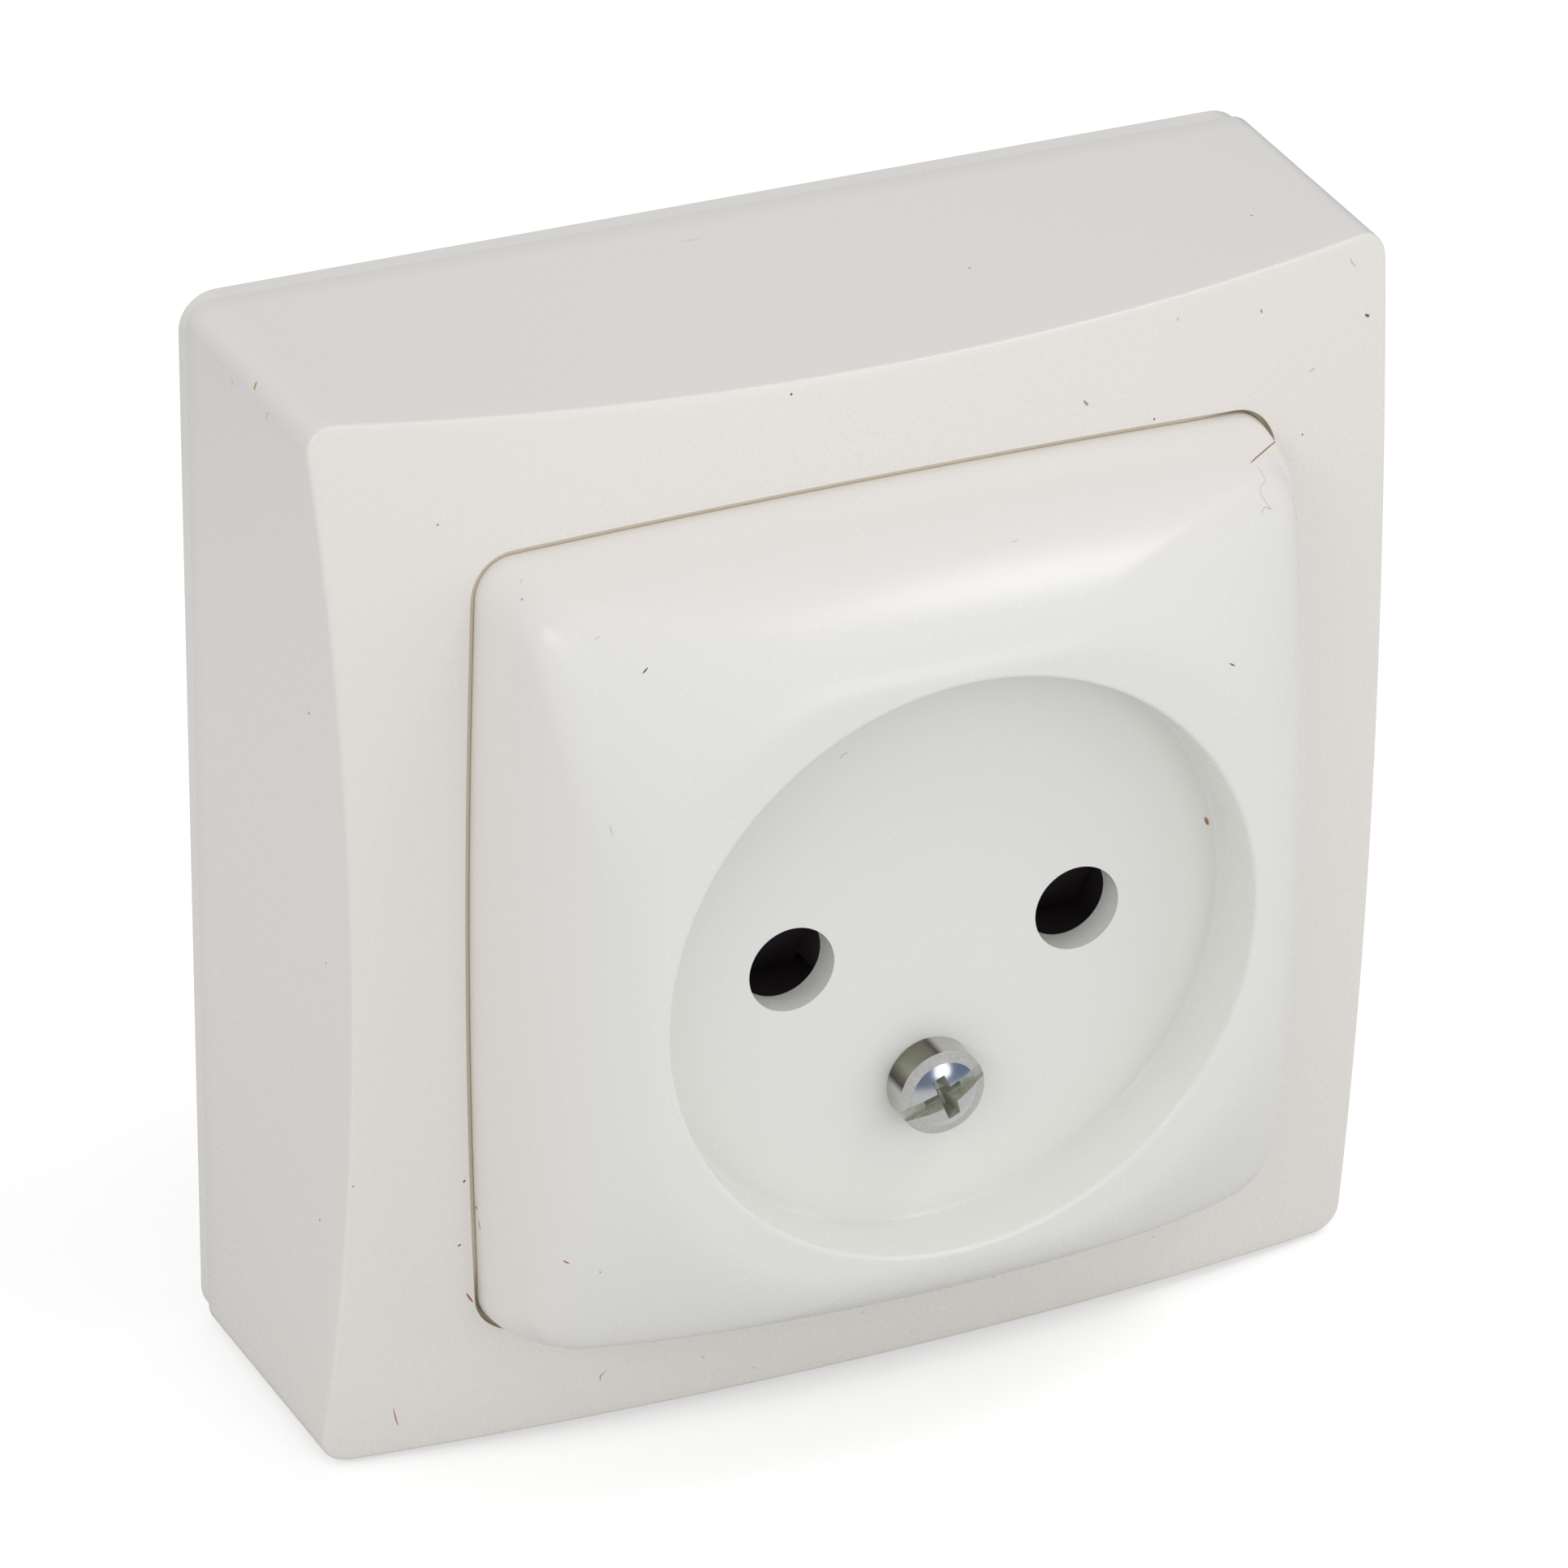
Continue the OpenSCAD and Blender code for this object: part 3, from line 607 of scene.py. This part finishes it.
def warm_border():
    """The cover plate turns from a cool white in the middle to the housing's warmer white at its border."""
    tree = COVER_WHITE.node_tree
    shader = tree.nodes["Principled BSDF"]
    place = tree.nodes.new("ShaderNodeSeparateXYZ")
    tree.links.new(object_coords(tree), place.inputs[0])
    across = add(tree, "ShaderNodeMath", operation="ABSOLUTE")
    tree.links.new(place.outputs["X"], across.inputs[0])
    along = add(tree, "ShaderNodeMath", operation="ABSOLUTE")
    tree.links.new(place.outputs["Z"], along.inputs[0])
    reach_out = add(tree, "ShaderNodeMath", operation="MAXIMUM")
    tree.links.new(across.outputs[0], reach_out.inputs[0])
    tree.links.new(along.outputs[0], reach_out.inputs[1])
    border = tree.nodes.new("ShaderNodeMapRange")
    border.interpolation_type = "SMOOTHSTEP"
    border.inputs["From Min"].default_value = BORDER_FROM * MM
    border.inputs["From Max"].default_value = BORDER_TO * MM
    tree.links.new(reach_out.outputs[0], border.inputs["Value"])
    mix = tree.nodes.new("ShaderNodeMix")
    mix.data_type = "RGBA"
    tree.links.new(border.outputs["Result"], mix.inputs["Factor"])
    tree.links.new(shader.inputs["Base Color"].links[0].from_socket, mix.inputs["A"])
    mix.inputs["B"].default_value = BORDER_TONE
    tree.links.new(mix.outputs["Result"], shader.inputs["Base Color"])


warm_border()

LOOK = {"white_plastic": WHITE, "cover_plastic": COVER_WHITE, "black_plastic": BLACK,
        "grey_plastic": GREY, "brass": BRASS, "plated_steel": ZINC}


def dress(obj, mat):
    obj.data.materials.clear()
    obj.data.materials.append(mat)


for part in frame["record"]["subparts"]:
    dress(nodes[part["node"]], LOOK[part["material_slot"]])

housing, gap_faces = build_housing()
dress(housing, WHITE)
housing.data.materials.append(GAP_DUST)
for i in gap_faces:
    housing.data.polygons[i].material_index = 1
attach(housing, "socket")
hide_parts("housing")

cover = build_cover()
dress(cover, COVER_WHITE)
cover.data.materials.append(GAP_DUST)
for i in range((len(SKIRT_HEIGHTS) - 1) * RAYS):
    cover.data.polygons[i].material_index = 1
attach(cover, "socket")
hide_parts("cover_plate")

screw = build_screw()
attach(screw, "socket")
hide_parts("cover_screw")

# Fibres and specks of dirt, as the photograph shows them: tone, width, points

DIRT_TONES = [grained("dirt_" + name, tone, 0.85, spec=0.15, drift=0.15) for name, tone in (
    ("pale", (0.64, 0.62, 0.59)), ("grey", (0.40, 0.39, 0.37)), ("dark", (0.09, 0.09, 0.09)),
    ("brown", (0.24, 0.14, 0.07)), ("red", (0.45, 0.16, 0.12)), ("ochre", (0.50, 0.36, 0.14)),
    ("rust", (0.40, 0.20, 0.10)))]
PALE, GREY_DIRT, DARK, BROWN, RED, OCHRE, RUST = range(7)
DIRT = [
    (RUST, 0.09, (22.2, 25.5, 27.6), (23.3, 25.6, 26.8), (24.4, 25.5, 25.8), (26.3, 24.6, 23.4)),
    (PALE, 0.07, (22.5, 25.4, 27.8), (22.6, 25.2, 28.2), (22.6, 24.9, 28.7), (22.1, 24.8, 29.1),
     (22.0, 24.4, 29.4), (22.45, 23.7, 29.7), (22.65, 23.5, 29.7), (22.1, 23.8, 29.8),
     (21.85, 23.65, 30.0), (21.8, 23.4, 30.2)),
    (RUST, 0.22, (18.05, 4.4, 31.5), (18.3, 3.8, 31.5)),
    (RED, 0.07, (-31.2, -31.5, 21.0), (-31.0, -32.3, 20.8), (-30.8, -33.0, 20.7)),
    (DARK, 0.14, (-6.2, 33.7, 23.2), (-6.1, 33.8, 23.2)),
    (GREY_DIRT, 0.16, (13.0, 29.85, 23.5), (13.3, 29.45, 23.5)),
    (BROWN, 0.19, (33.55, 30.5, 20.7), (33.9, 30.3, 20.7)),
    (PALE, 0.12, (29.1, 28.0, 21.9), (29.7, 28.1, 21.8)),
    (DARK, 0.12, (28.5, 24.2, 22.6), (28.6, 24.15, 22.6)),
    (DARK, 0.12, (17.8, 27.62, 23.5), (17.9, 27.72, 23.5)),
    (GREY_DIRT, 0.12, (28.8, 35.3, 14.3), (28.9, 35.3, 14.5)),
    (OCHRE, 0.12, (25.8, 32.7, 21.6), (25.9, 32.4, 21.6)),
    (PALE, 0.12, (19.8, 33.5, 22.3), (19.9, 33.3, 22.3)),
    (OCHRE, 0.17, (-35.0, 34.8, 11.4), (-35.0, 34.3, 11.6)),
    (GREY_DIRT, 0.14, (-34.8, 16.2, 18.0), (-34.8, 16.1, 18.2)),
    (GREY_DIRT, 0.14, (-34.6, 0.0, 19.6), (-34.6, -0.1, 19.6)),
    (GREY_DIRT, 0.14, (-34.3, -13.9, 22.5), (-34.3, -14.0, 22.6)),
    (GREY_DIRT, 0.14, (-34.8, -18.4, 18.5), (-34.8, -18.5, 18.6)),
    (GREY_DIRT, 0.12, (9.9, 35.0, 13.8), (10.1, 35.0, 13.9)),
    (GREY_DIRT, 0.14, (-28.2, 28.9, 21.9), (-28.1, 29.0, 21.9)),
    (GREY_DIRT, 0.16, (-24.6, 25.2, 26.1), (-24.5, 25.3, 26.1)),
    (BROWN, 0.14, (-27.5, -14.5, 23.8), (-27.6, -14.7, 23.8)),
    (DARK, 0.12, (-27.8, -19.4, 23.3), (-27.6, -19.3, 23.3)),
    (GREY_DIRT, 0.12, (-22.4, -17.4, 32.4), (-22.3, -17.5, 32.4)),
    (PALE, 0.08, (-4.7, 35.5, 4.5), (-3.6, 35.5, 4.6)),
    (BROWN, 0.10, (-19.5, 22.15, 31.85), (-19.1, 22.4, 31.7)),
    (PALE, 0.07, (-21.7, 23.9, 29.9), (-21.4, 24.1, 30.0)),
    (PALE, 0.09, (-35.5, 33.9, 8.0), (-35.5, 33.7, 8.5), (-35.5, 33.4, 8.4)),
    (PALE, 0.09, (-35.3, 34.1, 14.1), (-35.3, 33.9, 13.8), (-35.3, 33.5, 13.6)),
    (PALE, 0.08, (-24.3, 25.7, 25.2), (-24.0, 25.9, 25.0)),
    (PALE, 0.08, (-22.3, 13.6, 33.6), (-22.2, 13.0, 33.7)),
    (PALE, 0.10, (32.6, 34.2, 20.1), (32.75, 33.9, 20.2), (33.0, 33.6, 20.2)),
    (PALE, 0.08, (4.6, 25.2, 30.8), (5.2, 25.3, 30.8)),
    (PALE, 0.07, (-6.6, 13.6, 31.5), (-6.3, 13.9, 31.5), (-6.0, 13.9, 31.5)),
    (GREY_DIRT, 0.09, (-26.7, -17.4, 24.0), (-26.7, -17.7, 24.0), (-26.6, -18.1, 24.1)),
    (GREY_DIRT, 0.09, (-18.1, -31.8, 22.8), (-18.1, -31.4, 22.8), (-17.8, -31.1, 22.8)),
    (DARK, 0.09, (17.4, 16.7, 35.0), (17.8, 16.4, 34.9)),
    (RED, 0.12, (-26.8, -16.5, 23.8), (-26.75, -16.8, 23.8)),
    (RED, 0.13, (-27.1, -23.1, 22.9), (-26.9, -23.5, 22.9), (-26.65, -23.9, 22.9)),
    (RED, 0.12, (-24.3, -16.9, 31.2), (-23.9, -17.0, 31.4)),
    (PALE, 0.12, (-11.5, -31.3, 23.4), (-11.3, -31.5, 23.4)),
    (PALE, 0.12, (-7.9, -33.1, 23.2), (-7.7, -33.2, 23.2)),
    (PALE, 0.12, (-0.8, -30.5, 23.9), (-0.6, -30.5, 23.9)),
    (PALE, 0.12, (2.9, -33.2, 23.4), (3.0, -33.1, 23.4)),
    (PALE, 0.12, (8.4, -30.3, 23.7), (8.6, -30.2, 23.7)),
    (PALE, 0.12, (20.2, -30.8, 22.7), (20.4, -30.8, 22.7)),
]


STRAND_SIDES = 6
STRAND_STEPS = 4
STRAND_TIP = 0.2
STRAND_FLATNESS = 0.7


def build_dirt():
    """Thin tapered strands, half sunk in the surface nearest to their points."""
    trees = [BVHTree.FromPolygons([v.co for v in obj.data.vertices], [f.vertices for f in obj.data.polygons])
             for obj in (housing, cover)]
    verts = []
    faces = []
    tones = []
    sides = STRAND_SIDES
    for tone, width, *points in DIRT:
        spots = []
        pieces = len(points) - 1
        for k in range(pieces * STRAND_STEPS + 1):
            seg = min(k // STRAND_STEPS, pieces - 1)
            p = Vector(at(*points[seg])).lerp(Vector(at(*points[seg + 1])), k / STRAND_STEPS - seg)
            spots.append(min((tree.find_nearest(p) for tree in trees), key=lambda hit: hit[3])[:2])
        first = len(verts)
        for k, (p, normal) in enumerate(spots):
            ahead = (spots[min(k + 1, len(spots) - 1)][0] - spots[max(k - 1, 0)][0]).normalized()
            across = ahead.cross(normal).normalized()
            t = 2 * k / (len(spots) - 1) - 1
            taper = 2 if pieces < 3 else 8
            r = width / 2 * max(STRAND_TIP, math.sqrt(1 - abs(t) ** taper)) * MM
            for i in range(sides):
                a = 2 * math.pi * i / sides
                v = p + across * (r * math.cos(a)) + normal * (r * STRAND_FLATNESS * math.sin(a))
                verts.append((v.x / MM, v.z / MM, -v.y / MM))
        for k in range(len(spots) - 1):
            bridge(faces, first + k * sides, first + (k + 1) * sides, sides)
        faces.append(tuple(range(first, first + sides))[::-1])
        faces.append(tuple(range(len(verts) - sides, len(verts))))
        tones += [tone] * ((len(spots) - 1) * sides + 2)
    obj = new_object("dirt", verts, faces)
    for mat in DIRT_TONES:
        obj.data.materials.append(mat)
    for poly, tone in zip(obj.data.polygons, tones):
        poly.material_index = tone
    return obj


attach(build_dirt(), "socket")

# Studio

FLOOR_Z = -0.0357
FLOOR_REACH = 6.0
FLOOR_GLOW = 0.48
FILL = 0.64
ROOM = (0.15, 0.19, 0.28, 1)
ROOM_FROM = 0.12
ROOM_TO = 0.2


def build_stage():
    """A pale floor that keeps the shadow, and that turns into the dim room in reflections further out."""
    mesh = bpy.data.meshes.new("stage_floor")
    s = FLOOR_REACH
    corners = [(-s, -s, FLOOR_Z), (s, -s, FLOOR_Z), (s, s, FLOOR_Z), (-s, s, FLOOR_Z)]
    mesh.from_pydata(corners, [], [(0, 1, 2, 3)])
    floor = bpy.data.objects.new("stage_floor", mesh)
    bpy.context.scene.collection.objects.link(floor)
    m, tree, shader = material("stage_white", (0.72, 0.72, 0.72), 0.8, spec=0.1)
    light_path = tree.nodes.new("ShaderNodeLightPath")
    glow = tree.nodes.new("ShaderNodeMapRange")
    glow.inputs["To Min"].default_value = 0.0
    glow.inputs["To Max"].default_value = FLOOR_GLOW
    tree.links.new(light_path.outputs["Is Camera Ray"], glow.inputs["Value"])
    shader.inputs["Emission Color"].default_value = (1, 1, 1, 1)
    tree.links.new(glow.outputs["Result"], shader.inputs["Emission Strength"])
    room = tree.nodes.new("ShaderNodeEmission")
    room.inputs["Color"].default_value = ROOM
    place = tree.nodes.new("ShaderNodeVectorMath")
    place.operation = "LENGTH"
    tree.links.new(object_coords(tree), place.inputs[0])
    far = tree.nodes.new("ShaderNodeMapRange")
    far.inputs["From Min"].default_value = ROOM_FROM
    far.inputs["From Max"].default_value = ROOM_TO
    tree.links.new(place.outputs["Value"], far.inputs["Value"])
    both = tree.nodes.new("ShaderNodeMath")
    both.operation = "MULTIPLY"
    tree.links.new(far.outputs["Result"], both.inputs[0])
    tree.links.new(light_path.outputs["Is Glossy Ray"], both.inputs[1])
    mix = tree.nodes.new("ShaderNodeMixShader")
    tree.links.new(both.outputs[0], mix.inputs["Fac"])
    tree.links.new(shader.outputs[0], mix.inputs[1])
    tree.links.new(room.outputs[0], mix.inputs[2])
    tree.links.new(mix.outputs[0], tree.nodes["Material Output"].inputs["Surface"])
    dress(floor, m)


def build_world():
    """White for the camera, a soft fill for the surfaces, and a dim room around the lamps in reflections."""
    world = bpy.data.worlds.new("studio")
    bpy.context.scene.world = world
    world.use_nodes = True
    tree = world.node_tree
    tree.nodes.clear()
    out = tree.nodes.new("ShaderNodeOutputWorld")
    path = tree.nodes.new("ShaderNodeLightPath")

    def layer(color, strength):
        node = tree.nodes.new("ShaderNodeBackground")
        node.inputs["Color"].default_value = color
        node.inputs["Strength"].default_value = strength
        return node.outputs[0]

    def blend(fac, a, b):
        node = tree.nodes.new("ShaderNodeMixShader")
        tree.links.new(fac, node.inputs["Fac"])
        tree.links.new(a, node.inputs[1])
        tree.links.new(b, node.inputs[2])
        return node.outputs[0]

    white = (1, 1, 1, 1)
    shade = layer(white, FILL)
    shade = blend(path.outputs["Is Glossy Ray"], shade, layer(ROOM, 1.0))
    shade = blend(path.outputs["Is Transmission Ray"], shade, layer(white, 1.0))
    shade = blend(path.outputs["Is Camera Ray"], shade, layer(white, 1.0))
    tree.links.new(shade, out.inputs["Surface"])


def lamp(name, place, target, size, power, shape="RECTANGLE", mirrored=True, turn=0.0):
    """An area lamp aimed at a target; one that isn't mirrored doesn't show in reflections."""
    data = bpy.data.lights.new(name, "AREA")
    data.shape = shape
    data.size, data.size_y = size
    data.energy = power
    obj = bpy.data.objects.new(name, data)
    bpy.context.scene.collection.objects.link(obj)
    obj.location = place
    obj.visible_glossy = mirrored
    aim = (Vector(target) - Vector(place)).to_track_quat("-Z", "Y")
    obj.rotation_euler = (aim @ Quaternion((0, 0, 1), math.radians(turn))).to_euler()


# Camera solved from the photograph's perspective
SENSOR_WIDTH = 36.0
PHOTO_WIDTH = 1932
FOCAL_PIXELS = 10503.84
CAMERA_PLACE = (-0.1985, -0.4325, 0.2501)
CAMERA_AZIMUTH = math.radians(25.15535)
CAMERA_ELEVATION = math.radians(28.18371)
CAMERA_ROLL = math.radians(0.774532)


def build_camera():
    data = bpy.data.cameras.new("camera")
    data.sensor_width = SENSOR_WIDTH
    data.sensor_fit = "HORIZONTAL"
    data.lens = FOCAL_PIXELS / PHOTO_WIDTH * SENSOR_WIDTH
    data.clip_start = 0.01
    obj = bpy.data.objects.new("camera", data)
    bpy.context.scene.collection.objects.link(obj)
    level = math.cos(CAMERA_ELEVATION)
    forward = Vector((math.sin(CAMERA_AZIMUTH) * level, math.cos(CAMERA_AZIMUTH) * level,
                      -math.sin(CAMERA_ELEVATION)))
    right = Vector((math.cos(CAMERA_AZIMUTH), -math.sin(CAMERA_AZIMUTH), 0))
    up = right.cross(forward)
    turned_right = right * math.cos(CAMERA_ROLL) + up * math.sin(CAMERA_ROLL)
    turned_up = up * math.cos(CAMERA_ROLL) - right * math.sin(CAMERA_ROLL)
    axes = Matrix((turned_right, turned_up, -forward)).transposed().to_4x4()
    obj.matrix_world = Matrix.Translation(Vector(CAMERA_PLACE)) @ axes
    bpy.context.scene.camera = obj


build_stage()
build_world()
lamp("overhead_lamp", (0.45, -0.3, 0.85), (0, 0, 0), (0.26, 0.26), 1.15)
lamp("upper_left_lamp", (-0.906, -0.682, 0.669), (0, 0, 0), (0.95, 0.13), 2.1, turn=-23.0)
lamp("left_softbox", (-1.3, -0.45, 0.25), (0, 0, 0), (0.9, 0.9), 1.6, mirrored=False)
lamp("front_high_softbox", (0.0, -1.0, 0.9), (0, 0, 0), (0.8, 0.8), 0.6, mirrored=False)
lamp("right_softbox", (1.1, -0.75, 0.25), (0, 0, 0), (0.8, 0.8), 2.1, mirrored=False)
lamp("front_lamp", (0.40, -1.33, 0.19), (0, -0.034, -0.01), (0.58, 0.58), 1.4, "DISK")
build_camera()
bpy.context.scene.view_settings.view_transform = "Standard"
